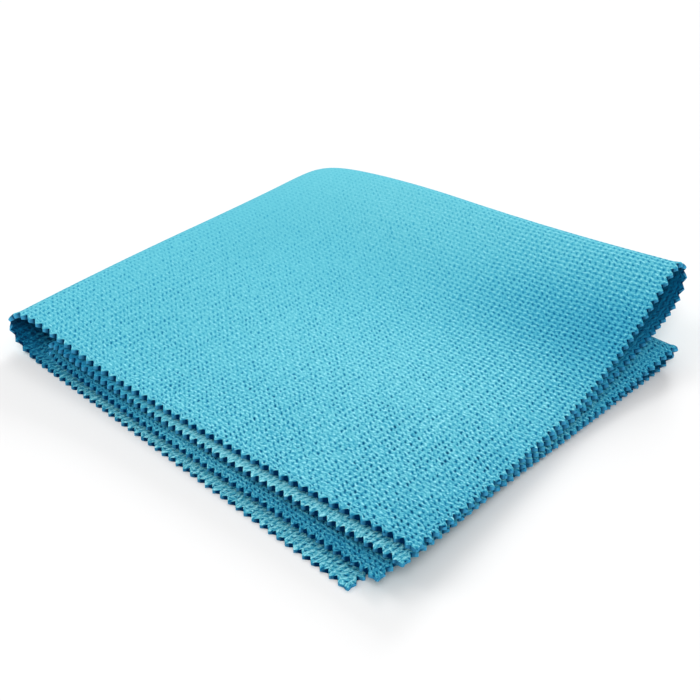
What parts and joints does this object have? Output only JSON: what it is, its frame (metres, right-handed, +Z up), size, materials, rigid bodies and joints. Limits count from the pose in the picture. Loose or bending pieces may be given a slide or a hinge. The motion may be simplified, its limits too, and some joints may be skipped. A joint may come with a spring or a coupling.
{
  "type": "microfibre cloth",
  "caption": "Square knitted microfibre cloth with pinked edges, folded in quarters and lying loosely on a table, its layers fanned out at one corner.",
  "frame": {"origin": "centre of the folded cloth's outline box, on the table it lies on", "axes": "+X from the side fold to the open right edges, +Y from the open front edges to the back fold, +Z up"},
  "size_m": [0.163, 0.153, 0.0252],
  "materials": {
    "microfibre": "soft matte knit"
  },
  "bodies": {
    "root": {"cloth": "microfibre"}
  },
  "joints": []
}
